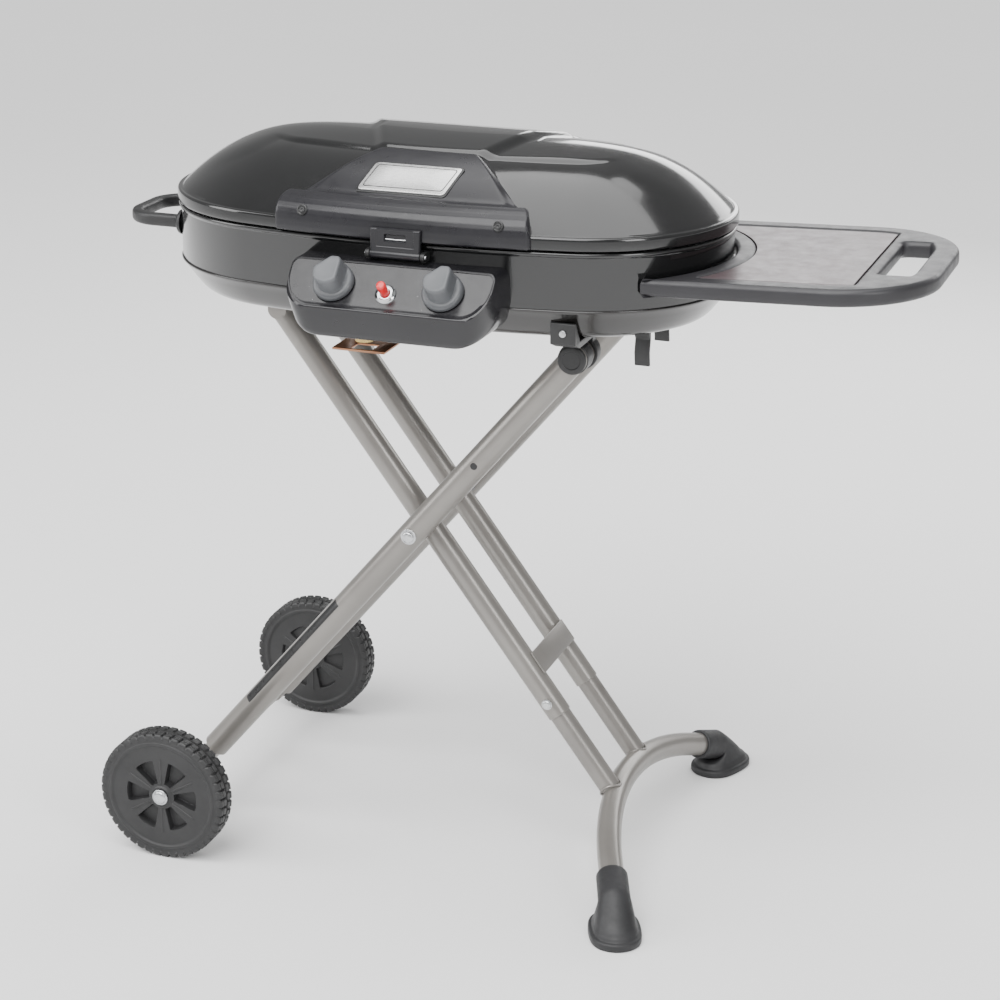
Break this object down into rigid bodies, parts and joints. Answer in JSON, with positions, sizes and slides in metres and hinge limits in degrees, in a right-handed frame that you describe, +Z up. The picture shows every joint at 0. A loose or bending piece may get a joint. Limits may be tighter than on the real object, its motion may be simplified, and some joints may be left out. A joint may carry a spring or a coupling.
{
  "type": "folding stand propane grill",
  "caption": "Stand-up folding propane grill: oval firebox with hinged lid, control panel, side table, scissor legs, wheels and rubber feet.",
  "frame": {"origin": "on the floor under the middle of the whole object's footprint, standing open on its wheels and feet", "axes": "+X along the grill towards the side table, +Y from the control panel towards the lid's hinge, +Z up"},
  "size_m": [0.999, 0.58, 0.8837],
  "materials": {
    "black_enamel": "gloss",
    "black_plastic": "satin",
    "bright_steel": "satin",
    "brass": "satin",
    "cast_iron": "matt",
    "chrome": "gloss",
    "nameplate_metal": "satin",
    "spark_ceramic": "gloss",
    "knob_grey": "satin",
    "red_button": "gloss",
    "table_brown": "satin",
    "grey_tube": "satin",
    "black_rubber": "matt",
    "wheel_black": "matt"
  },
  "bodies": {
    "grill_body": {"firebox_wall": "black_enamel", "bottom_pan": "black_enamel", "drip_tray": "bright_steel", "burner_left": "bright_steel", "burner_right": "bright_steel", "grate_left": "cast_iron", "grate_right": "cast_iron", "gas_valves": "brass", "gas_manifold": "bright_steel", "gas_inlet": "brass", "regulator_bracket": "bright_steel", "control_panel": "black_plastic", "igniter_collar": "chrome", "igniter_unit": "black_plastic", "spark_electrodes": "spark_ceramic", "latch_bracket": "black_plastic", "carry_handle": "black_plastic", "table_frame": "black_plastic", "table_panel": "table_brown", "table_brackets": "bright_steel", "frame_screws": "bright_steel", "pivot_bracket_front": "black_plastic", "pivot_bracket_rear": "black_plastic", "leg_catches": "black_plastic", "crossbar_rest": "bright_steel", "hinge_brackets": "bright_steel", "hinge_pins": "bright_steel", "latch_pin": "bright_steel"},
    "lid": {"lid_shell": "black_enamel", "lid_trim": "black_plastic", "trim_screws": "bright_steel", "nameplate": "nameplate_metal", "lid_hinges": "bright_steel"},
    "latch": {"latch": "black_plastic"},
    "left_knob": {"knob_left": "knob_grey", "valve_stem_left": "brass"},
    "right_knob": {"knob_right": "knob_grey", "valve_stem_right": "brass"},
    "igniter_button": {"igniter_button": "red_button"},
    "wheel_frame": {"wheel_leg_front": "grey_tube", "wheel_leg_rear": "grey_tube", "top_pivot_pins": "bright_steel", "top_pivot_caps": "black_plastic", "axle_tube": "grey_tube", "axle_rod": "bright_steel", "axle_caps": "bright_steel", "scissor_bolts": "bright_steel", "scissor_spacers": "black_plastic"},
    "foot_frame": {"upper_leg_front": "grey_tube", "upper_leg_rear": "grey_tube", "lower_leg_front": "grey_tube", "lower_leg_rear": "grey_tube", "top_crossbar": "grey_tube", "brace_plate": "grey_tube", "leg_bolts": "bright_steel", "foot_arch": "grey_tube", "foot_front": "black_rubber", "foot_rear": "black_rubber"},
    "front_wheel": {"wheel_front": "wheel_black"},
    "rear_wheel": {"wheel_rear": "wheel_black"}
  },
  "joints": [
    {"name": "lid_hinge", "type": "hinge", "parent": "grill_body", "child": "lid", "pos_m": [-0.0885, 0.203, 0.793], "axis": [-1, 0, 0], "range_deg": [0, 95]},
    {"name": "latch_swing", "type": "hinge", "parent": "grill_body", "child": "latch", "pos_m": [-0.0835, -0.204, 0.776], "axis": [1, 0, 0], "range_deg": [0, 90]},
    {"name": "left_knob_turn", "type": "hinge", "parent": "grill_body", "child": "left_knob", "pos_m": [-0.1455, -0.23434, 0.746], "axis": [0, 0.7342, -0.6789], "range_deg": [0, 90]},
    {"name": "right_knob_turn", "type": "hinge", "parent": "grill_body", "child": "right_knob", "pos_m": [-0.0155, -0.23434, 0.746], "axis": [0, 0.7342, -0.6789], "range_deg": [0, 90]},
    {"name": "igniter_press", "type": "slide", "parent": "grill_body", "child": "igniter_button", "axis": [0, 0.7342, -0.6789], "range_m": [0, 0.004], "stiffness_N_per_m": 800, "springref_m": -0.002},
    {"name": "leg_fold", "type": "hinge", "parent": "grill_body", "child": "wheel_frame", "pos_m": [0.0995, 0, 0.651], "axis": [0, 1, 0], "range_deg": [0, 49.99]},
    {"name": "foot_frame_fold", "type": "hinge", "parent": "wheel_frame", "child": "foot_frame", "pos_m": [-0.10127, 0, 0.411], "axis": [0, 1, 0], "range_deg": [-103.09, 0]},
    {"name": "front_wheel_spin", "type": "hinge", "parent": "wheel_frame", "child": "front_wheel", "pos_m": [-0.3765, -0.2355, 0.082], "axis": [0, 1, 0], "continuous": true},
    {"name": "rear_wheel_spin", "type": "hinge", "parent": "wheel_frame", "child": "rear_wheel", "pos_m": [-0.3765, 0.2355, 0.082], "axis": [0, 1, 0], "continuous": true}
  ],
  "couplings": [
    {"joint": "foot_frame_fold", "follows": "leg_fold", "ratio": -2.0582}
  ]
}
